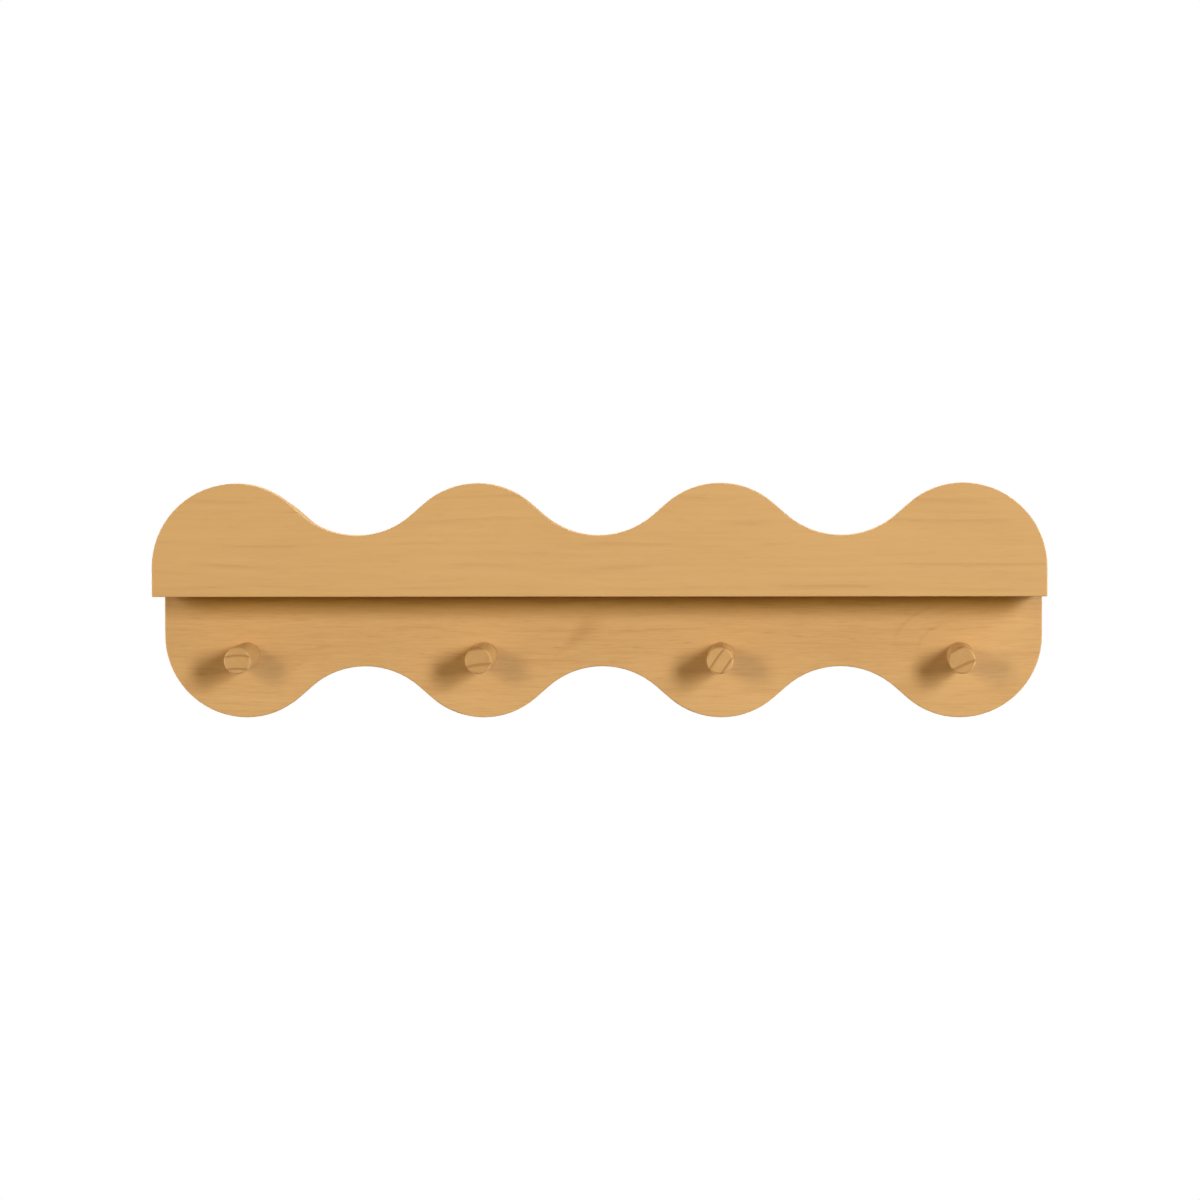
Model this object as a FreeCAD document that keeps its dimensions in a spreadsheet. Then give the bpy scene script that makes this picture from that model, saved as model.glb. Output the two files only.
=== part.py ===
import FreeCAD, Part
import math
import os
import Sketcher
from FreeCAD import Vector

# Wall book ledge with hooks: a scalloped back board, a shelf board, a scalloped lip and a row of pegs.
# X runs along the ledge, the wall is the plane y = 0, the room is towards -Y,
# and z = 0 is the underside of the shelf board. Lengths are in millimetres.

sizes = {
    # scalloped outline, shared by the back board and the lip
    "lobe_pitch": 162.5,
    "lobe_radius": 54,
    "end_radius": 56.25,
    "wave_depth": 35,
    "flank_run": 11.5,
    # boards
    "back_thickness": 15,
    "back_rise": 69,
    "back_drop": 86,
    "shelf_thickness": 15,
    "shelf_depth": 65,
    "shelf_end_inset": 2,
    "front_thickness": 15,
    "front_height": 76,
    "edge_round": 0.8,
    # pegs
    "peg_diameter": 18,
    "peg_length": 70,
    "peg_above_lobe_tip": 42.5,
    "peg_tip_chamfer": 1,
    # wood screws that hold the pegs and the shelf
    "screw_diameter": 4,
    "screw_head_diameter": 8,
    "screw_length": 40,
    "screw_tip_length": 5,
    "screw_recess_length": 4.4,
    "screw_recess_width": 1,
    "screw_recess_depth": 1.5,
    "shelf_screw_pitch": 140,
    # glued dowels between the shelf and the lip
    "dowel_diameter": 8,
    "dowel_in_shelf": 20,
    "dowel_in_front": 10,
    "dowel_chamfer": 0.8,
    # keyhole plates let into the rear of the back board
    "hanger_width": 18,
    "hanger_height": 50,
    "hanger_thickness": 2,
    "hanger_below_lobe_tip": 8,
    "keyhole_entry_diameter": 10,
    "keyhole_slot_width": 5,
    "keyhole_rise": 10,
    "keyhole_head_room": 6,
    "keyhole_head_play": 1,
    # small screws of the keyhole plates
    "hanger_screw_diameter": 3,
    "hanger_screw_head_diameter": 5.6,
    "hanger_screw_length": 10,
    "hanger_screw_tip_length": 3,
    "hanger_screw_recess_length": 3,
    "hanger_screw_recess_width": 0.7,
    "hanger_screw_recess_depth": 0.9,
    # clearance around screws, dowels and plates in their holes and pockets
    "fit_gap": 0.1,
}

lobe_count = 4
shelf_screw_count = 4
countersink_angle = 90
quarter_turn = math.pi / 2

doc = FreeCAD.newDocument("book_ledge")
sheet = doc.addObject("Spreadsheet::Sheet", "dims")
for row, (name, size) in enumerate(sizes.items(), 1):
    sheet.set(f"A{row}", name)
    sheet.set(f"B{row}", str(size))
    sheet.setAlias(f"B{row}", name)
doc.recompute()

# places and sizes that follow from the driving dimensions, as expressions on the sheet
arc_sum = "((dims.lobe_pitch / 2) ^ 2 + dims.wave_depth ^ 2 - dims.flank_run ^ 2) / (2 * dims.wave_depth)"
valley_radius = f"({arc_sum} - dims.lobe_radius)"
half_length = f"({(lobe_count - 1) / 2} * dims.lobe_pitch + dims.end_radius)"
shelf_middle = "(dims.shelf_thickness / 2)"
shelf_front = "(dims.back_thickness + dims.shelf_depth)"
peg_height = "(dims.peg_above_lobe_tip - dims.back_drop)"
screw_in_wood = "(dims.screw_length - dims.back_thickness)"
hanger_reach = "((dims.hanger_height - dims.hanger_width) / 2)"
hanger_middle = "(dims.keyhole_rise / 2)"
keyhole_height = f"(dims.back_rise - dims.hanger_below_lobe_tip - dims.hanger_height / 2 - {hanger_middle})"


def value(expression):
    return float(sheet.evalExpression(expression))


def lobe_place(number):
    return f"({number - (lobe_count - 1) / 2} * dims.lobe_pitch)"


def new_body(label):
    body = doc.addObject("PartDesign::Body", label)
    body.Label = label
    return body


def origin_feature(body, role):
    return next(feature for feature in body.Origin.OriginFeatures if feature.Role == role)


def new_sketch(body, name, role="XZ_Plane", offset=None):
    """A sketch on one of the body's planes. On XZ_Plane it looks along +Y and its normal is -Y."""
    sketch = body.newObject("Sketcher::SketchObject", f"{body.Name}_{name}")
    sketch.AttachmentSupport = [(origin_feature(body, role), "")]
    sketch.MapMode = "FlatFace"
    if offset:
        sketch.setExpression("AttachmentOffset.Base.z", offset)
    return sketch


def bind(sketch, kind, *places, to):
    """Add one dimension to a sketch and tie it to the sheet."""
    number = sketch.addConstraint(Sketcher.Constraint(kind, *places, value(to)))
    sketch.setExpression(f"Constraints[{number}]", to)


def put_centre(sketch, shape, x, z):
    """Place a circle's or arc's centre, on the vertical axis where x is zero."""
    if value(x) == 0:
        sketch.addConstraint(Sketcher.Constraint("PointOnObject", shape, 3, -2))
    else:
        bind(sketch, "DistanceX", -1, 1, shape, 3, to=x)
    if value(z) == 0:
        sketch.addConstraint(Sketcher.Constraint("PointOnObject", shape, 3, -1))
    else:
        bind(sketch, "DistanceY", -1, 1, shape, 3, to=z)


def add_circle(sketch, x, z, diameter):
    centre = Vector(value(x), value(z), 0)
    shape = sketch.addGeometry(Part.Circle(centre, Vector(0, 0, 1), value(diameter) / 2))
    put_centre(sketch, shape, x, z)
    bind(sketch, "Diameter", shape, to=diameter)


def add_arc(sketch, x, z, radius, start, end):
    centre = Vector(value(x), value(z), 0)
    circle = Part.Circle(centre, Vector(0, 0, 1), value(radius))
    shape = sketch.addGeometry(Part.ArcOfCircle(circle, start, end))
    put_centre(sketch, shape, x, z)
    bind(sketch, "Radius", shape, to=radius)
    return shape


def join_tangent(sketch, first, second):
    """Draw a line between the ends of two arcs, tangent to both."""
    line = sketch.addGeometry(Part.LineSegment(sketch.getPoint(*first), sketch.getPoint(*second)))
    sketch.addConstraint(Sketcher.Constraint("Tangent", *first, line, 1))
    sketch.addConstraint(Sketcher.Constraint("Tangent", *second, line, 2))


def add_slot(sketch, x, low, high, radius):
    """A slot with round ends, standing upright from z = low to z = high between its end centres."""
    lower = add_arc(sketch, x, low, radius, -2 * quarter_turn, 0)
    upper = add_arc(sketch, x, high, radius, 0, 2 * quarter_turn)
    join_tangent(sketch, (lower, 2), (upper, 1))
    join_tangent(sketch, (upper, 2), (lower, 1))


def add_rectangle(sketch, left, right, low, high):
    corners = [(left, low), (right, low), (right, high), (left, high)]
    points = [Vector(value(x), value(z), 0) for x, z in corners]
    lines = [
        sketch.addGeometry(Part.LineSegment(points[side], points[(side + 1) % 4]))
        for side in range(4)
    ]
    for side, line in enumerate(lines):
        sketch.addConstraint(Sketcher.Constraint("Coincident", line, 2, lines[(side + 1) % 4], 1))
        direction = "Horizontal" if side % 2 == 0 else "Vertical"
        sketch.addConstraint(Sketcher.Constraint(direction, line))
    for corner, places in ((0, (left, low)), (2, (right, high))):
        for kind, place, axis in (("DistanceX", places[0], -2), ("DistanceY", places[1], -1)):
            if value(place) == 0:
                sketch.addConstraint(Sketcher.Constraint("PointOnObject", lines[corner], 1, axis))
            else:
                bind(sketch, kind, -1, 1, lines[corner], 1, to=place)


def add_end_round(sketch, lobe, end, centre, start):
    """Carry an outer lobe on from its crest to the board's side, as a quarter circle tangent to it."""
    circle = Part.Circle(centre, Vector(0, 0, 1), value("dims.end_radius"))
    shape = sketch.addGeometry(Part.ArcOfCircle(circle, start, start + quarter_turn))
    sketch.addConstraint(Sketcher.Constraint("Tangent", lobe, end, shape, 3 - end))
    sketch.addConstraint(Sketcher.Constraint("Vertical", lobe, 3, lobe, end))
    bind(sketch, "Radius", shape, to="dims.end_radius")
    return shape, end


def add_scallops(sketch, tip, up):
    """Draw a scalloped edge whose lobes reach z = tip and point up (1) or down (-1).

    Lobes and valleys are arcs, joined by short straight flanks that are tangent to both.
    Each outer lobe ends in a quarter circle of its own radius.
    Returns the open ends at the left and right sides of the board.
    """
    reach = value(arc_sum)
    lean = math.atan2(value("dims.lobe_pitch / 2"), reach - value("dims.wave_depth"))
    lean -= math.atan2(value("dims.flank_run"), reach)
    lobe_height = f"({tip} - {up} * dims.lobe_radius)"
    valley_height = f"({tip} - {up} * (dims.wave_depth - {valley_radius}))"
    crest = up * quarter_turn
    left_end, right_end = (2, 1) if up > 0 else (1, 2)

    lobes = []
    for number in range(lobe_count):
        left_lean = 0 if number == 0 else lean
        right_lean = 0 if number == lobe_count - 1 else lean
        before, after = (right_lean, left_lean) if up > 0 else (left_lean, right_lean)
        place = lobe_place(number)
        lobes.append(add_arc(sketch, place, lobe_height, "dims.lobe_radius", crest - before, crest + after))

    for number in range(lobe_count - 1):
        place = lobe_place(number + 0.5)
        valley = add_arc(sketch, place, valley_height, valley_radius, -crest - lean, -crest + lean)
        join_tangent(sketch, (lobes[number], right_end), (valley, right_end))
        join_tangent(sketch, (valley, left_end), (lobes[number + 1], left_end))

    end_height = value(f"{tip} - {up} * dims.end_radius")
    left_centre = Vector(value(lobe_place(0)), end_height, 0)
    right_centre = Vector(value(lobe_place(lobe_count - 1)), end_height, 0)
    left_start, right_start = (quarter_turn, 0) if up > 0 else (2 * quarter_turn, -quarter_turn)
    left_round = add_end_round(sketch, lobes[0], left_end, left_centre, left_start)
    right_round = add_end_round(sketch, lobes[-1], right_end, right_centre, right_start)
    return left_round, right_round


def add_pad(body, sketch, length):
    pad = body.newObject("PartDesign::Pad", f"{sketch.Name}_pad")
    pad.Profile = sketch
    pad.setExpression("Length", length)
    doc.recompute()
    return pad


def add_pocket(body, sketch, depth, forward):
    """Cut a sketch into the body, towards -Y where forward is true, and make sure that it cuts."""
    before = body.Shape.Volume
    pocket = body.newObject("PartDesign::Pocket", f"{sketch.Name}_pocket")
    pocket.Profile = sketch
    pocket.setExpression("Length", depth)
    pocket.Reversed = forward
    doc.recompute()
    if not body.Shape.Volume < before:
        raise RuntimeError(f"{pocket.Name} cuts nothing")
    return pocket


def add_countersunk_holes(body, sketch, diameter, head_diameter):
    """Drill through towards -Y at each circle of a sketch, with a countersink at the sketch's plane."""
    before = body.Shape.Volume
    hole = body.newObject("PartDesign::Hole", f"{sketch.Name}_hole")
    hole.Profile = sketch
    hole.Reversed = True
    hole.DepthType = "ThroughAll"
    hole.HoleCutType = "Countersink"
    hole.HoleCutCustomValues = True
    hole.HoleCutCountersinkAngle = countersink_angle
    hole.setExpression("Diameter", diameter)
    hole.setExpression("HoleCutDiameter", head_diameter)
    doc.recompute()
    if not body.Shape.Volume < before:
        raise RuntimeError(f"{hole.Name} cuts nothing")


def faces_facing(shape, direction):
    return [
        f"Face{number}"
        for number, face in enumerate(shape.Faces, 1)
        if face.Surface.TypeId == "Part::GeomPlane" and face.normalAt(0, 0).dot(direction) > 0.999
    ]


def round_edges(body, base, directions):
    """Ease every edge around the flat faces that face the given ways."""
    fillet = body.newObject("PartDesign::Fillet", f"{body.Name}_round")
    names = [name for way in directions for name in faces_facing(base.Shape, way)]
    fillet.Base = (base, names)
    fillet.setExpression("Radius", "dims.edge_round")
    doc.recompute()


def chamfer_ends(body, base, directions, size):
    chamfer = body.newObject("PartDesign::Chamfer", f"{body.Name}_chamfer")
    names = [name for way in directions for name in faces_facing(base.Shape, way)]
    chamfer.Base = (base, names)
    chamfer.setExpression("Size", size)
    doc.recompute()


def repeat_along(body, role, count, spacing):
    """Repeat the whole of a body's shape, as separate solids, along one of its axes."""
    pattern = body.newObject("PartDesign::LinearPattern", f"{body.Name}_{role}_row")
    pattern.TransformMode = "Whole shape"
    pattern.Direction = (origin_feature(body, role), [""])
    pattern.Mode = "Spacing"
    pattern.Occurrences = count
    pattern.setExpression("Offset", spacing)
    body.Tip = pattern
    doc.recompute()


def place_body(body, x="0", y="0", z="0"):
    for axis, place in (("x", x), ("y", y), ("z", z)):
        body.setExpression(f"Placement.Base.{axis}", place)
    doc.recompute()


def make_back_panel():
    body = new_body("back_panel")
    outline = new_sketch(body, "outline")
    top_left, top_right = add_scallops(outline, "dims.back_rise", 1)
    bottom_left, bottom_right = add_scallops(outline, "(-dims.back_drop)", -1)
    join_tangent(outline, top_left, bottom_left)
    join_tangent(outline, bottom_right, top_right)
    board = add_pad(body, outline, "dims.back_thickness")
    round_edges(body, board, [Vector(0, 1, 0), Vector(0, -1, 0)])

    screw_holes = new_sketch(body, "screw_holes")
    screw_bore = "dims.screw_diameter + 2 * dims.fit_gap"
    for number in range(lobe_count):
        add_circle(screw_holes, lobe_place(number), peg_height, screw_bore)
    for number in range(shelf_screw_count):
        place = f"({number - (shelf_screw_count - 1) / 2} * dims.shelf_screw_pitch)"
        add_circle(screw_holes, place, shelf_middle, screw_bore)
    add_countersunk_holes(body, screw_holes, screw_bore, "dims.screw_head_diameter + 2 * dims.fit_gap")

    recess = new_sketch(body, "hanger_recess")
    head_pocket = new_sketch(body, "keyhole_pocket")
    head_pocket_radius = "dims.keyhole_entry_diameter / 2 + dims.keyhole_head_play"
    pilots = new_sketch(body, "hanger_pilots")
    for number in (0, lobe_count - 1):
        place = lobe_place(number)
        middle = f"({keyhole_height} + {hanger_middle})"
        low = f"({middle} - {hanger_reach})"
        high = f"({middle} + {hanger_reach})"
        slot_top = f"({keyhole_height} + dims.keyhole_rise)"
        add_slot(recess, place, low, high, "dims.hanger_width / 2 + dims.fit_gap")
        add_slot(head_pocket, place, keyhole_height, slot_top, head_pocket_radius)
        for pilot_height in (low, high):
            add_circle(pilots, place, pilot_height, "dims.hanger_screw_diameter + 2 * dims.fit_gap")
    add_pocket(body, recess, "dims.hanger_thickness", True)
    add_pocket(body, head_pocket, "dims.hanger_thickness + dims.keyhole_head_room", True)
    add_pocket(body, pilots, "dims.hanger_screw_length + dims.fit_gap", True)
    return body


def make_shelf_board():
    body = new_body("shelf_board")
    outline = new_sketch(body, "outline", "XY_Plane")
    half = f"({half_length} - dims.shelf_end_inset)"
    add_rectangle(outline, f"-{half}", half, "-dims.shelf_depth", "0")
    add_pad(body, outline, "dims.shelf_thickness")

    pilots = new_sketch(body, "screw_pilots")
    for number in range(shelf_screw_count):
        place = f"({number - (shelf_screw_count - 1) / 2} * dims.shelf_screw_pitch)"
        add_circle(pilots, place, shelf_middle, "dims.screw_diameter + 2 * dims.fit_gap")
    add_pocket(body, pilots, f"{screw_in_wood} + dims.fit_gap", True)

    dowel_holes = new_sketch(body, "dowel_holes", offset="dims.shelf_depth")
    for number in range(lobe_count):
        add_circle(dowel_holes, lobe_place(number), shelf_middle, "dims.dowel_diameter + 2 * dims.fit_gap")
    add_pocket(body, dowel_holes, "dims.dowel_in_shelf + dims.fit_gap", False)
    place_body(body, y="-dims.back_thickness")
    return body


def make_front_panel():
    body = new_body("front_panel")
    outline = new_sketch(body, "outline")
    left_end, right_end = add_scallops(outline, "dims.front_height", 1)
    left_foot = Vector(-value(half_length), 0, 0)
    right_foot = Vector(value(half_length), 0, 0)
    left = outline.addGeometry(Part.LineSegment(outline.getPoint(*left_end), left_foot))
    bottom = outline.addGeometry(Part.LineSegment(left_foot, right_foot))
    right = outline.addGeometry(Part.LineSegment(right_foot, outline.getPoint(*right_end)))
    outline.addConstraint(Sketcher.Constraint("Tangent", *left_end, left, 1))
    outline.addConstraint(Sketcher.Constraint("Coincident", left, 2, bottom, 1))
    outline.addConstraint(Sketcher.Constraint("Coincident", bottom, 2, right, 1))
    outline.addConstraint(Sketcher.Constraint("Tangent", *right_end, right, 2))
    outline.addConstraint(Sketcher.Constraint("Vertical", left))
    outline.addConstraint(Sketcher.Constraint("Vertical", right))
    outline.addConstraint(Sketcher.Constraint("Horizontal", bottom))
    outline.addConstraint(Sketcher.Constraint("PointOnObject", bottom, 1, -1))
    board = add_pad(body, outline, "dims.front_thickness")
    round_edges(body, board, [Vector(0, 1, 0), Vector(0, -1, 0), Vector(0, 0, -1)])

    dowel_holes = new_sketch(body, "dowel_holes")
    for number in range(lobe_count):
        add_circle(dowel_holes, lobe_place(number), shelf_middle, "dims.dowel_diameter + 2 * dims.fit_gap")
    add_pocket(body, dowel_holes, "dims.dowel_in_front + dims.fit_gap", True)
    place_body(body, y=f"-{shelf_front}")
    return body


def make_peg(number):
    body = new_body(f"peg_{number + 1}")
    section = new_sketch(body, "section")
    add_circle(section, "0", "0", "dims.peg_diameter")
    rod = add_pad(body, section, "dims.peg_length")
    chamfer_ends(body, rod, [Vector(0, -1, 0)], "dims.peg_tip_chamfer")
    pilot = new_sketch(body, "pilot")
    add_circle(pilot, "0", "0", "dims.screw_diameter + 2 * dims.fit_gap")
    add_pocket(body, pilot, f"{screw_in_wood} + dims.fit_gap", True)
    place_body(body, lobe_place(number), "-dims.back_thickness", peg_height)
    return body


def make_front_dowel(number):
    body = new_body(f"front_dowel_{number + 1}")
    section = new_sketch(body, "section")
    add_circle(section, "0", "0", "dims.dowel_diameter")
    pin = add_pad(body, section, "dims.dowel_in_shelf + dims.dowel_in_front")
    chamfer_ends(body, pin, [Vector(0, 1, 0), Vector(0, -1, 0)], "dims.dowel_chamfer")
    place_body(body, lobe_place(number), f"dims.dowel_in_shelf - {shelf_front}", shelf_middle)
    return body


def make_hanger(label, number):
    body = new_body(label)
    outline = new_sketch(body, "outline")
    low = f"({hanger_middle} - {hanger_reach})"
    high = f"({hanger_middle} + {hanger_reach})"
    add_slot(outline, "0", low, high, "dims.hanger_width / 2")
    add_pad(body, outline, "dims.hanger_thickness")

    entry = new_sketch(body, "entry")
    add_circle(entry, "0", "0", "dims.keyhole_entry_diameter")
    add_pocket(body, entry, "dims.hanger_thickness", True)
    slot = new_sketch(body, "slot")
    add_slot(slot, "0", "0", "dims.keyhole_rise", "dims.keyhole_slot_width / 2")
    add_pocket(body, slot, "dims.hanger_thickness", True)

    screw_holes = new_sketch(body, "screw_holes")
    screw_bore = "dims.hanger_screw_diameter + 2 * dims.fit_gap"
    for height in (low, high):
        add_circle(screw_holes, "0", height, screw_bore)
    add_countersunk_holes(body, screw_holes, screw_bore, "dims.hanger_screw_head_diameter + 2 * dims.fit_gap")
    place_body(body, x=lobe_place(number), z=keyhole_height)
    return body


def make_screw(label, prefix):
    """One countersunk screw with a cross recess, its head flush with y = 0 and its tip towards -Y."""
    body = new_body(label)
    radius = f"dims.{prefix}_diameter / 2"
    head_radius = f"dims.{prefix}_head_diameter / 2"
    head_depth = f"({head_radius} - {radius})"
    tip_start = f"(dims.{prefix}_length - dims.{prefix}_tip_length)"
    corners = [
        ("0", "0"),
        (head_radius, "0"),
        (radius, f"-{head_depth}"),
        (radius, f"-{tip_start}"),
        ("0", f"-dims.{prefix}_length"),
    ]
    profile = new_sketch(body, "profile", "XY_Plane")
    points = [Vector(value(x), value(y), 0) for x, y in corners]
    lines = [
        profile.addGeometry(Part.LineSegment(points[side - 1], points[side]))
        for side in range(len(points))
    ]
    for side, line in enumerate(lines):
        profile.addConstraint(Sketcher.Constraint("Coincident", lines[side - 1], 2, line, 1))
    for line, (x, y) in zip(lines, corners):
        for kind, place, axis in (("DistanceX", x, -2), ("DistanceY", y, -1)):
            if value(place) == 0:
                profile.addConstraint(Sketcher.Constraint("PointOnObject", line, 2, axis))
            else:
                bind(profile, kind, -1, 1, line, 2, to=place)
    turned = body.newObject("PartDesign::Revolution", f"{label}_turned")
    turned.Profile = profile
    turned.ReferenceAxis = (profile, ["V_Axis"])
    doc.recompute()

    half_span = f"(dims.{prefix}_recess_length / 2)"
    half_width = f"(dims.{prefix}_recess_width / 2)"
    for name, across, along in (("level", half_span, half_width), ("upright", half_width, half_span)):
        recess = new_sketch(body, f"{name}_recess")
        add_rectangle(recess, f"-{across}", across, f"-{along}", along)
        add_pocket(body, recess, f"dims.{prefix}_recess_depth", True)
    return body


def make_peg_screws():
    body = make_screw("peg_screws", "screw")
    repeat_along(body, "X_Axis", lobe_count, "dims.lobe_pitch")
    place_body(body, x=lobe_place(0), z=peg_height)
    return body


def make_shelf_screws():
    body = make_screw("shelf_screws", "screw")
    repeat_along(body, "X_Axis", shelf_screw_count, "dims.shelf_screw_pitch")
    place_body(body, x=f"{-(shelf_screw_count - 1) / 2} * dims.shelf_screw_pitch", z=shelf_middle)
    return body


def make_hanger_screws():
    body = make_screw("hanger_screws", "hanger_screw")
    repeat_along(body, "Z_Axis", 2, f"2 * {hanger_reach}")
    repeat_along(body, "X_Axis", 2, f"{lobe_count - 1} * dims.lobe_pitch")
    place_body(body, x=lobe_place(0), z=f"{keyhole_height} + {hanger_middle} - {hanger_reach}")
    return body


pieces = [make_back_panel(), make_shelf_board(), make_front_panel()]
pieces += [make_peg(number) for number in range(lobe_count)]
pieces += [make_front_dowel(number) for number in range(lobe_count)]
pieces += [make_hanger("hanger_left", 0), make_hanger("hanger_right", lobe_count - 1)]
pieces += [make_peg_screws(), make_shelf_screws(), make_hanger_screws()]
doc.recompute()

for item in doc.Objects:
    if "Invalid" in item.State or "Error" in item.State:
        raise RuntimeError(f"{item.Name} failed: {item.State}")
for piece in pieces:
    if piece.Shape.isNull() or not piece.Shape.isValid():
        raise RuntimeError(f"{piece.Label} has no valid shape")

os.makedirs("parts", exist_ok=True)
for piece in pieces:
    piece.Shape.exportStep(f"parts/{piece.Label}.step")
    print(f"{piece.Label}: {len(piece.Shape.Solids)} solids, {piece.Shape.Volume:.0f} mm3")
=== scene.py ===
import bpy
import math
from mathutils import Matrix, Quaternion, Vector


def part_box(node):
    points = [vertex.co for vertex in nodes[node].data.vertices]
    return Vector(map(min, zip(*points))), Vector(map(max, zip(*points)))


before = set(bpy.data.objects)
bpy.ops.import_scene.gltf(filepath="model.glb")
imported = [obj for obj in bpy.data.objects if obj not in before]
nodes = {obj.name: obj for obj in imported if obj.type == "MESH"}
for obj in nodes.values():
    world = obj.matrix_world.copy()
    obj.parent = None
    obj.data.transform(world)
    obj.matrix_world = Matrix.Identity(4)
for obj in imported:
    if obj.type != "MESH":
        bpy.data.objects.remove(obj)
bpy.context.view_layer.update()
perMetre = 1000.0  # finishes are sized in millimetres, light and camera in metres
print("frame loaded with", len(nodes), "pieces")


# shader maths

class Wire:  # one socket of a node tree, with arithmetic on values
    def __init__(self, tree, socket=None):
        self.tree = tree
        self.socket = socket

    def node(self, kind, settings=None, sockets=None, out=0):
        made = self.tree.nodes.new(kind)
        for name, value in (settings or {}).items():
            if name == "stops":
                setStops(made.color_ramp, value)
            else:
                setattr(made, name, value)
        for name, value in (sockets or {}).items():
            if isinstance(value, Wire):
                self.tree.links.new(value.socket, made.inputs[name])
            else:
                made.inputs[name].default_value = value
        return Wire(self.tree, made.outputs[out] if made.outputs else None)

    def twin(self, out):  # another output of the same node
        return Wire(self.tree, self.socket.node.outputs[out])

    def math(self, operation, *values):
        return self.node("ShaderNodeMath", {"operation": operation}, dict(enumerate(values)))

    def __add__(self, other):
        return self.math("ADD", self, other)

    def __radd__(self, other):
        return self.math("ADD", other, self)

    def __sub__(self, other):
        return self.math("SUBTRACT", self, other)

    def __rsub__(self, other):
        return self.math("SUBTRACT", other, self)

    def __mul__(self, other):
        return self.math("MULTIPLY", self, other)

    def __rmul__(self, other):
        return self.math("MULTIPLY", other, self)

    def __truediv__(self, other):
        return self.math("DIVIDE", self, other)

    def __rtruediv__(self, other):
        return self.math("DIVIDE", other, self)

    def __neg__(self):
        return self.math("MULTIPLY", self, -1)

    def __abs__(self):
        return self.math("ABSOLUTE", self)


def setStops(ramp, stops):
    while len(ramp.elements) < len(stops):
        ramp.elements.new(1)
    for element, (place, colour) in zip(ramp.elements, stops):
        element.position = place
        element.color = (*colour, 1)


def smooth(value, low, high):  # 0 below low, 1 above high, an easy slope between
    settings = {"interpolation_type": "SMOOTHSTEP"}
    return value.node("ShaderNodeMapRange", settings, {"Value": value, "From Min": low, "From Max": high})


def larger(first, second):
    return first.math("MAXIMUM", first, second)


def distance(a, b):  # how far a step of a one way and b the other leads
    return a.math("SQRT", a * a + b * b)


def bell(value):  # 1 at zero, fading on both sides
    return value.math("EXPONENT", -(value * value))


def patches(place, size):  # the place, counted in patches of this size
    sides = {axis: part / length for axis, part, length in zip("XYZ", place, size)}
    return place[0].node("ShaderNodeCombineXYZ", None, sides)


def noise(place, pattern):  # 0 to 1; a pattern is its patch size, detail and roughness
    size, detail, rough = pattern
    sockets = {"Vector": patches(place, size), "Scale": 1.0, "Detail": detail, "Roughness": rough}
    return place[0].node("ShaderNodeTexNoise", None, sockets)


def sway(place, pattern):  # noise about zero
    return noise(place, pattern) - 0.5


def toneColour(tone, dark, middle, pale):  # tone -0.5 is dark, 0 is middle and 0.5 is pale
    stops = [(0.0, dark), (0.5, middle), (1.0, pale)]
    return tone.node("ShaderNodeValToRGB", {"stops": stops}, {"Fac": tone + 0.5})


def raised(height, strength, depth):  # bump with its depth in metres
    sockets = {"Strength": strength, "Distance": depth, "Height": height}
    return height.node("ShaderNodeBump", None, sockets, "Normal")


def arris(facing):  # 0 on flat faces, 1 halfway round the edge between two of them
    turned = abs(facing)
    return turned * (1 - turned) * 4


def newFinish(name):
    material = bpy.data.materials.new(name)
    material.use_nodes = True
    material.node_tree.nodes.clear()
    return material, Wire(material.node_tree)


def closeFinish(wire, sockets):
    shader = wire.node("ShaderNodeBsdfPrincipled", None, sockets)
    wire.node("ShaderNodeOutputMaterial", None, {"Surface": shader})


def dress(name, material):
    nodes[name].material_slots[0].material = material


def partMillimetres(wire):  # places in the part's own frame
    place = wire.node("ShaderNodeTexCoord", out="Object")
    scaled = wire.node("ShaderNodeVectorMath", {"operation": "SCALE"}, {0: place, "Scale": perMetre})
    x = wire.node("ShaderNodeSeparateXYZ", None, {0: scaled}, "X")
    return x, x.twin("Y"), x.twin("Z")


def boxMillimetres(name):  # middle and half size of a piece
    low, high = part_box(name)
    return (low + high) * (perMetre / 2), (high - low) * (perMetre / 2)


def faceTurn(wire):  # how far a face looks along the ledge and into the wall
    normal = wire.node("ShaderNodeNewGeometry", out="Normal")
    x = wire.node("ShaderNodeSeparateXYZ", None, {0: normal}, "X")
    return x, x.twin("Y")


# pine boards and pegs

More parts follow.
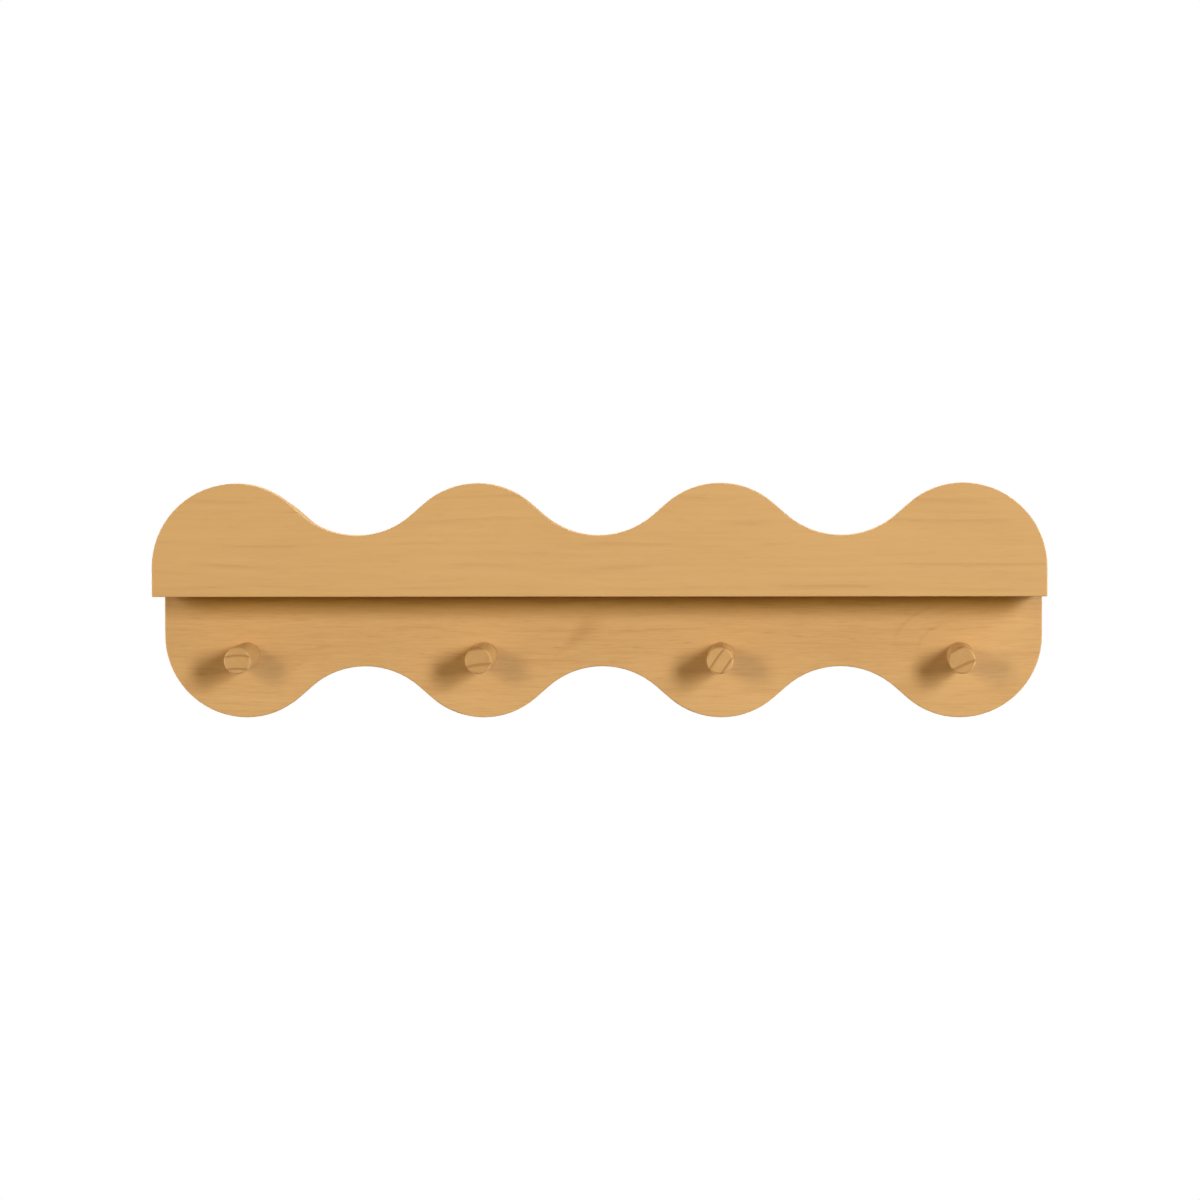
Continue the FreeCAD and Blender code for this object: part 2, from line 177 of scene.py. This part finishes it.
pine = {
    "dark": (0.400, 0.192, 0.054),
    "pale": (0.790, 0.510, 0.225),
    "patterns": {  # patches along, across and up the grain
        "uneven": ((90.0, 14.0, 14.0), 1.0, 0.5),
        "fading": ((60.0, 8.0, 8.0), 1.0, 0.5),
        "fibre": ((22.0, 0.9, 0.9), 3.0, 0.6),
        "hair": ((9.0, 0.45, 0.45), 2.0, 0.6),
        "band": ((80.0, 4.0, 4.0), 2.0, 0.5),
        "cloud": ((110.0, 60.0, 60.0), 2.0, 0.5),
        "fleck": ((18.0, 0.6, 0.6), 1.0, 0.5),
        "wear": ((14.0, 14.0, 14.0), 2.0, 0.5),
    },
    "fadingRange": (0.40, 0.68),  # from none to full
    "fleckRange": (0.66, 0.76),
    "wearRange": (0.35, 0.75),
    "lateTo": 0.94,  # late wood is full from here in a year ring
    "ringEdge": 0.96,  # and fades from here to the next ring
    "endSoftness": 0.40,
    "toneShares": {"fibre": 0.14, "hair": 0.10, "band": 0.14, "cloud": 0.16, "ring": 0.10, "fleck": 0.10},
    "reliefShares": {"fibre": 0.6, "ring": 0.3, "fleck": 0.5},
    "reliefDepth": 0.00012,
    "roughShares": {"fibre": 0.10, "fleck": 0.08, "end": 0.12},
    "coatRange": (0.2, 0.6),  # from full on the sides to none on the ends
    "coatRoughness": 0.26,
}


def lateWood(place, grain):  # 1 in the dark part of each year ring
    across, up = place[1:]
    lean, pith = math.radians(grain["ringLean"]), grain["pithAway"]
    radius = distance(across + pith * math.sin(lean), up + pith * math.cos(lean))
    uneven = sway(place, pine["patterns"]["uneven"]) * grain["ringUneven"]
    turn = (radius - (pith + grain["ringStart"])) / grain["ringWidth"] + uneven
    phase = turn.math("FRACT", turn)
    return smooth(phase, grain["lateFrom"], pine["lateTo"]) * (1 - smooth(phase, pine["ringEdge"], 1.0))


def softMark(x, z, mark):  # a soft darker smear, wider at one end
    tilt = math.radians(mark["tilt"])
    fromX, fromZ = x - mark["x"], z - mark["z"]
    aside = fromX * math.cos(tilt) + fromZ * math.sin(tilt)
    above = fromZ * math.cos(tilt) - fromX * math.sin(tilt)
    width = mark["width"] + aside * mark["flare"]
    return bell(aside / mark["length"]) * bell(above / width) * mark["depth"]


def knotArc(x, z, arc):  # part of a year ring that bends round a hidden knot
    facing = math.radians(arc["facing"])
    fromX, fromZ = (x - arc["x"]) / arc["reachX"], (z - arc["z"]) / arc["reachZ"]
    away = distance(fromX, fromZ)
    towards = (fromX * math.cos(facing) + fromZ * math.sin(facing)) / away
    return bell((away - 1) / arc["width"]) * smooth(towards, arc["openFrom"], 1.0) * arc["depth"]


jointStainAndShade = {  # painted shade and joint stain where the shelf and the pegs meet a board: a golden tint along the shelf that paints the colour of the shade under it, and a dark ring at each peg's foot
    "faceRange": (0.5, 0.9),
    "pegReach": 0.9,
    "pegDepth": 0.18,
    "shelfReach": 20.0,
    "shelfEndFade": 30.0,
    "shelfShadeTint": (1.0, 0.90, 0.31, 1),
}


# a thin dark ring at the foot of each peg: a dark joint line that also paints the contact shade there
def besidePeg(x, z, name):
    middle, half = boxMillimetres(name)
    away = distance(x - middle.x, z - middle.z)
    return 1 - smooth(away, half.z, half.z + jointStainAndShade["pegReach"])


# where the golden painted shade lies: a band beside the shelf, fading towards its ends
def shelfShadeBand(x, z):
    middle, half = boxMillimetres("shelf_board")
    beyond = smooth(abs(z - middle.z), half.z, half.z + jointStainAndShade["shelfReach"])
    atEnd = smooth(abs(x - middle.x), half.x - jointStainAndShade["shelfEndFade"], half.x)
    return (1 - beyond) * (1 - atEnd)


def jointStainAndShadeColour(x, z, ny, tone, grain):  # darker round the pegs, partly painted contact shade; more golden along the shelf, painted shade
    met = smooth(ny * grain["shelfSide"], *jointStainAndShade["faceRange"])
    for peg in grain["pegs"]:
        tone = tone - besidePeg(x, z, peg) * met * jointStainAndShade["pegDepth"]
    colour = toneColour(tone, pine["dark"], grain["base"], pine["pale"])
    settings = {"data_type": "RGBA", "blend_type": "MULTIPLY"}
    # multiply in the golden tint that paints the shade along the shelf
    sockets = {0: shelfShadeBand(x, z) * met, 6: colour, 7: jointStainAndShade["shelfShadeTint"]}
    return colour.node("ShaderNodeMix", settings, sockets, 2)


def pineFinish(name, grain):
    material, wire = newFinish(name)
    x, y, z = partMillimetres(wire)
    nx, ny = faceTurn(wire)
    centreX, centreY, centreZ = grain["centre"]
    if grain["along"] == "x":
        along, across, endFacing = x - centreX, y - centreY, abs(nx)
    else:
        along, across, endFacing = y - centreY, x - centreX, abs(ny)
    along = along + grain["seed"]  # each piece is cut from its own stretch of wood
    up = z - centreZ
    drift = sway((along, across, up), grain["wave"])
    place = (along, across, up + drift * grain["waveHeight"])

    patterns = pine["patterns"]
    late = lateWood(place, grain)
    fading = smooth(noise(place, patterns["fading"]), *pine["fadingRange"])
    fibre = sway(place, patterns["fibre"])
    hair = sway(place, patterns["hair"])
    band = sway(place, patterns["band"])
    cloud = sway(place, patterns["cloud"])
    fleck = smooth(noise(place, patterns["fleck"]), *pine["fleckRange"])
    endGrain = smooth(endFacing, grain["endFrom"], grain["endFrom"] + pine["endSoftness"])
    sideGrain = 1 - endGrain
    wear = arris(ny) * smooth(noise((x, y, z), patterns["wear"]), *pine["wearRange"])

    share = pine["toneShares"]
    streaks = fibre * share["fibre"] + hair * share["hair"]
    tone = streaks * grain["figure"] + band * share["band"] + cloud * share["cloud"]
    tone = tone - late * fading * sideGrain * share["ring"] - late * endGrain * grain["endRing"]
    tone = tone - fleck * sideGrain * grain["figure"] * share["fleck"]
    tone = tone - endGrain * grain["endDark"] + wear * grain["wear"]
    for mark in grain["marks"]:
        tone = tone - softMark(x, z, mark)
    for arc in grain["arcs"]:
        tone = tone - knotArc(x, z, arc)
    # boards that meet the shelf get the painted shade along it and round the pegs
    if grain["shelfSide"]:
        colour = jointStainAndShadeColour(x, z, ny, tone, grain)
    else:
        colour = toneColour(tone, pine["dark"], grain["base"], pine["pale"])

    share = pine["reliefShares"]
    relief = fibre * share["fibre"] - late * share["ring"] - fleck * share["fleck"]
    share = pine["roughShares"]
    rough = grain["roughness"] + fibre * share["fibre"] + fleck * share["fleck"] + endGrain * share["end"]
    surface = {"Base Color": colour, "Roughness": rough, "Specular IOR Level": grain["sheen"]}
    surface["Normal"] = raised(relief, grain["relief"], pine["reliefDepth"])
    if grain["coat"]:
        surface["Coat Weight"] = (1 - smooth(endFacing, *pine["coatRange"])) * grain["coat"]
        surface["Coat Roughness"] = pine["coatRoughness"]
    closeFinish(wire, surface)
    return material


pegs = {  # the lean, place and spacing of the year rings that cross each tip
    "peg_1": {"seed": 50.0, "ringLean": 0.0, "ringStart": 4.4, "ringWidth": 8.7, "pithAway": 40.0,
              "endDark": 0.21},
    "peg_2": {"seed": 260.0, "ringLean": -7.6, "ringStart": -1.75, "ringWidth": 11.0, "pithAway": 90.0,
              "endDark": 0.26},
    "peg_3": {"seed": 470.0, "ringLean": -54.5, "ringStart": 3.4, "ringWidth": 8.1, "pithAway": 90.0,
              "endDark": 0.17},
    "peg_4": {"seed": 680.0, "ringLean": -23.6, "ringStart": -1.6, "ringWidth": 11.0, "pithAway": 90.0,
              "endDark": 0.265},
}
pegShared = {
    "along": "y", "base": (0.640, 0.396, 0.146), "figure": 1.0,
    "wave": ((90.0, 70.0, 70.0), 1.0, 0.5), "waveHeight": 1.0,
    "ringUneven": 0.12, "lateFrom": 0.74, "endRing": 0.45, "endFrom": 0.44, "wear": 0.02,
    "roughness": 0.50, "sheen": 0.35, "coat": 0.6, "relief": 0.06,
    "shelfSide": 0, "pegs": [], "marks": [], "arcs": [],
}
boards = {
    "front_panel": {
        "seed": 410.0, "ringLean": 40.0, "pithAway": 230.0, "ringStart": 4.8,
        "base": (0.630, 0.372, 0.139), "figure": 1.0, "shelfSide": 1,
    },
    "back_panel": {
        "seed": 1730.0, "ringLean": -35.0, "pithAway": 260.0, "ringStart": 5.0,
        "base": (0.630, 0.376, 0.144), "figure": 2.7, "shelfSide": -1, "pegs": list(pegs),
        "marks": [
            {"x": -14.5, "z": -28.5, "tilt": 40.0, "length": 15.0, "width": 6.0, "flare": 0.22,
             "depth": 0.20},
        ],
        "arcs": [
            {"x": 243.0, "z": -41.0, "reachX": 28.0, "reachZ": 20.0, "width": 0.05, "depth": 0.08,
             "facing": 145.0, "openFrom": 0.75},
            {"x": 243.0, "z": -41.0, "reachX": 45.0, "reachZ": 33.0, "width": 0.03, "depth": 0.09,
             "facing": 140.0, "openFrom": 0.86},
        ],
    },
    "shelf_board": {
        "seed": 2960.0, "ringLean": 70.0, "pithAway": 180.0, "ringStart": 1.0,
        "base": (0.630, 0.371, 0.137), "figure": 1.8,
    },
}
boardShared = {  # shelfSide is 1 where the face towards the wall meets the shelf, -1 for the other face
    "along": "x", "centre": (0.0, 0.0, 0.0),
    "wave": ((170.0, 70.0, 70.0), 1.0, 0.5), "waveHeight": 9.0,
    "ringWidth": 14.5, "ringUneven": 0.35, "lateFrom": 0.70,
    "endRing": 0.10, "endDark": 0.06, "endFrom": 0.55, "wear": 0.05,
    "roughness": 0.66, "sheen": 0.30, "coat": 0.0, "relief": 0.25,
    "shelfSide": 0, "pegs": [], "marks": [], "arcs": [],
}

for name, own in boards.items():
    dress(name, pineFinish(name + "_pine", {**boardShared, **own}))
for name, own in pegs.items():
    middle = boxMillimetres(name)[0]
    dress(name, pineFinish(name + "_pine", {**pegShared, **own, "centre": tuple(middle)}))
print("pine boards and pegs dressed")


# dowels, keyhole plates and screws

beech = {
    "name": "bareBeech",
    "dark": (0.430, 0.270, 0.150),
    "middle": (0.640, 0.450, 0.280),
    "pale": (0.740, 0.560, 0.370),
    "patterns": {  # patches across, along and up the dowel
        "fibre": ((0.5, 9.0, 0.5), 3.0, 0.6),
        "cloud": ((6.0, 40.0, 6.0), 2.0, 0.5),
        "ray": ((0.6, 2.6, 0.6), 1.0, 0.5),
    },
    "rayRange": (0.62, 0.70),
    "toneShares": {"fibre": 0.30, "cloud": 0.30, "ray": 0.30},
    "rayRelief": 0.4,
    "relief": 0.3,
    "reliefDepth": 0.0001,
    "roughness": 0.62,
    "fibreRough": 0.15,
    "sheen": 0.25,
}


def beechFinish():
    material, wire = newFinish(beech["name"])
    place = partMillimetres(wire)
    fibre = sway(place, beech["patterns"]["fibre"])
    cloud = sway(place, beech["patterns"]["cloud"])
    ray = smooth(noise(place, beech["patterns"]["ray"]), *beech["rayRange"])
    share = beech["toneShares"]
    tone = fibre * share["fibre"] + cloud * share["cloud"] - ray * share["ray"]
    closeFinish(wire, {
        "Base Color": toneColour(tone, beech["dark"], beech["middle"], beech["pale"]),
        "Roughness": beech["roughness"] + fibre * beech["fibreRough"],
        "Specular IOR Level": beech["sheen"],
        "Normal": raised(fibre - ray * beech["rayRelief"], beech["relief"], beech["reliefDepth"]),
    })
    return material


zincSheet = {
    "name": "zincSheet",
    "dark": (0.400, 0.410, 0.425),
    "middle": (0.600, 0.612, 0.630),
    "pale": (0.740, 0.750, 0.760),
    "roughness": 0.36,
    "spangle": (2.2, 2.2, 2.2),
    "rolled": ((0.5, 0.5, 14.0), 2.0, 0.5),
    "sunkDarkRange": (3.0, 9.0),  # depth into the board, from none to full darkening
}
yellowZinc = {
    "name": "yellowZinc",
    "dark": (0.330, 0.265, 0.150),
    "middle": (0.640, 0.535, 0.300),
    "pale": (0.720, 0.680, 0.520),
    "roughness": 0.30,
    "spangle": (0.9, 0.9, 0.9),
    "rolled": ((0.5, 0.5, 3.0), 2.0, 0.5),
    "sunkDarkRange": (0.3, 0.9),
}
platedShared = {
    "stain": ((7.0, 7.0, 7.0), 3.0, 0.5),
    "toneShares": {"spangle": 0.14, "rolled": 0.28, "stain": 0.50, "rubbed": 0.22, "sunkDark": 0.30},
    "roughShares": {"rolled": 0.12, "stain": 0.20, "sunkDark": 0.15},
    "reliefShares": {"rolled": 0.6, "stain": 0.3},
    "relief": 0.2,
    "reliefDepth": 0.00005,
}


def platedFinish(plating):
    material, wire = newFinish(plating["name"])
    place = partMillimetres(wire)
    sockets = {"Vector": patches(place, plating["spangle"]), "Scale": 1.0}
    crystals = wire.node("ShaderNodeTexVoronoi", None, sockets, "Color")
    spangle = wire.node("ShaderNodeSeparateXYZ", None, {0: crystals}, "X") - 0.5
    rolled = sway(place, plating["rolled"])
    stain = sway(place, platedShared["stain"])
    rubbed = arris(faceTurn(wire)[1])
    # darker and rougher the deeper the metal lies in the board
    sunkDark = smooth(-place[1], *plating["sunkDarkRange"])
    share = platedShared["toneShares"]
    tone = spangle * share["spangle"] + rolled * share["rolled"] + stain * share["stain"]
    tone = tone + rubbed * share["rubbed"] - sunkDark * share["sunkDark"]
    share = platedShared["roughShares"]
    rough = rolled * share["rolled"] + stain * share["stain"] + sunkDark * share["sunkDark"]
    share = platedShared["reliefShares"]
    relief = rolled * share["rolled"] + stain * share["stain"]
    closeFinish(wire, {
        "Base Color": toneColour(tone, plating["dark"], plating["middle"], plating["pale"]),
        "Metallic": 1.0,
        "Roughness": plating["roughness"] + rough,
        "Normal": raised(relief, platedShared["relief"], platedShared["reliefDepth"]),
    })
    return material


dowelBeech = beechFinish()
plateZinc = platedFinish(zincSheet)
screwZinc = platedFinish(yellowZinc)
for name in nodes:
    if name.startswith("front_dowel"):
        dress(name, dowelBeech)
    elif name in ("hanger_left", "hanger_right"):
        dress(name, plateZinc)
    elif name.endswith("_screws"):
        dress(name, screwZinc)
print("dowels, plates and screws dressed")


# stage, light and camera

white = (1, 1, 1, 1)
stage = {"floorDrop": 3.2, "floorHalf": 7.0, "floorTone": 0.80, "bounceTone": 0.12, "whiteShare": 0.99}


def seenRays(wire):  # rays from the camera, from reflections and through glass
    straight = wire.node("ShaderNodeLightPath", out="Is Camera Ray")
    return straight, straight.twin("Is Glossy Ray"), straight.twin("Is Transmission Ray")


def layFloor():
    half, drop = stage["floorHalf"], stage["floorDrop"]
    mesh = bpy.data.meshes.new("studioFloor")
    corners = [(-half, -half, -drop), (half, -half, -drop), (half, half, -drop), (-half, half, -drop)]
    mesh.from_pydata(corners, [], [(0, 1, 2, 3)])
    floor = bpy.data.objects.new("studioFloor", mesh)
    bpy.context.scene.collection.objects.link(floor)
    material, wire = newFinish("paleFloor")
    straight, glossy, through = seenRays(wire)
    seen = larger(straight, larger(glossy, through))
    tone = stage["bounceTone"] + seen * (stage["floorTone"] - stage["bounceTone"])
    matt = wire.node("ShaderNodeBsdfDiffuse", None, {"Color": tone})
    lit = wire.node("ShaderNodeEmission", None, {"Color": white, "Strength": 1.0})
    mixed = wire.node("ShaderNodeMixShader", None, {0: seen * stage["whiteShare"], 1: matt, 2: lit})
    wire.node("ShaderNodeOutputMaterial", None, {"Surface": mixed})
    mesh.materials.append(material)


surround = {
    "ambient": 0.075, "ambientTint": (1.0, 0.68, 0.38, 1),
    "backdrop": 1.0, "frontGlow": 0.05, "glowRange": (-0.3, 0.2),  # what reflections see, from front to back
}


def lightSurround():
    world = bpy.data.worlds.new("studioSurround")
    bpy.context.scene.world = world
    world.use_nodes = True
    world.node_tree.nodes.clear()
    wire = Wire(world.node_tree)
    straight, glossy, through = seenRays(wire)
    way = wire.node("ShaderNodeTexCoord", out="Generated")
    behind = smooth(wire.node("ShaderNodeSeparateXYZ", None, {0: way}, "Y"), *surround["glowRange"])
    mirrored = surround["frontGlow"] + behind * (surround["backdrop"] - surround["frontGlow"])
    unseen = 1 - larger(straight, larger(glossy, through))
    level = larger(straight, through) * surround["backdrop"]
    level = level + glossy * mirrored + unseen * surround["ambient"]
    sockets = {0: unseen, 6: white, 7: surround["ambientTint"]}
    tint = wire.node("ShaderNodeMix", {"data_type": "RGBA"}, sockets, 2)
    glow = wire.node("ShaderNodeBackground", None, {"Color": tint, "Strength": level})
    wire.node("ShaderNodeOutputWorld", None, {"Surface": glow})


softBoxes = {  # strength 1 lights a facing surface to its own colour
    "keyBox": {"azimuth": 20.0, "elevation": 8.0, "away": 4.5, "width": 0.60, "height": 0.90,
               "strength": 0.58, "tint": (1.0, 1.0, 1.0)},
    "fillBox": {"azimuth": -18.0, "elevation": 7.5, "away": 4.5, "width": 0.79, "height": 0.75,
                "strength": 0.29, "tint": (1.0, 0.89, 0.65)},
    "highBox": {"azimuth": 46.0, "elevation": 24.0, "away": 4.0, "width": 1.0, "height": 1.0,
                "strength": 0.20, "tint": (0.82, 0.86, 1.0)},
    "leftBox": {"azimuth": -88.0, "elevation": -5.0, "away": 3.0, "width": 0.5, "height": 1.4,
                "strength": 0.65, "tint": (1.0, 0.92, 0.80)},
    "rightBox": {"azimuth": 88.0, "elevation": -5.0, "away": 3.0, "width": 0.5, "height": 1.4,
                 "strength": 0.55, "tint": (1.0, 0.92, 0.80)},
    "backLeftBox": {"azimuth": 215.0, "elevation": 50.0, "away": 4.0, "width": 1.2, "height": 1.0,
                    "strength": 0.95, "tint": (1.0, 1.0, 1.0)},
    "backRightBox": {"azimuth": 150.0, "elevation": 50.0, "away": 4.0, "width": 1.2, "height": 1.0,
                     "strength": 0.45, "tint": (1.0, 1.0, 1.0)},
}


def wayTo(azimuth, elevation):  # azimuth 0 is straight in front of the ledge
    turn, rise = math.radians(azimuth), math.radians(elevation)
    return Vector((math.sin(turn) * math.cos(rise), -math.cos(turn) * math.cos(rise), math.sin(rise)))


def hangSoftBox(name, box):
    light = bpy.data.lights.new(name, "AREA")
    light.shape = "RECTANGLE"
    light.size, light.size_y = box["width"], box["height"]
    light.color = box["tint"]
    light.energy = box["strength"] * (math.pi * box["away"]) ** 2
    lamp = bpy.data.objects.new(name, light)
    lamp.location = wayTo(box["azimuth"], box["elevation"]) * box["away"]
    lamp.rotation_mode = "QUATERNION"
    lamp.rotation_quaternion = (-lamp.location).to_track_quat("-Z", "Y")
    lamp.visible_camera = False
    bpy.context.scene.collection.objects.link(lamp)


shot = {
    "azimuth": 1.9055, "elevation": 2.4693, "away": 3.8795, "roll": -0.1265,
    "aim": (-0.00160, -0.0150, -0.00562),
    "lens": 170.25, "sensor": 36.0, "clip": (0.05, 100.0),
}


def placeCamera():
    lens = bpy.data.cameras.new("shot")
    lens.sensor_width = shot["sensor"]
    lens.lens = shot["lens"]
    lens.clip_start, lens.clip_end = shot["clip"]
    camera = bpy.data.objects.new("shot", lens)
    back = wayTo(shot["azimuth"], shot["elevation"])
    camera.location = Vector(shot["aim"]) + back * shot["away"]
    camera.rotation_mode = "QUATERNION"
    roll = Quaternion((0, 0, 1), math.radians(shot["roll"]))
    camera.rotation_quaternion = (-back).to_track_quat("-Z", "Y") @ roll
    bpy.context.scene.collection.objects.link(camera)
    bpy.context.scene.camera = camera


layFloor()
lightSurround()
for name, box in softBoxes.items():
    hangSoftBox(name, box)
placeCamera()
bpy.context.scene.view_settings.view_transform = "Standard"
print("stage, light and camera set")
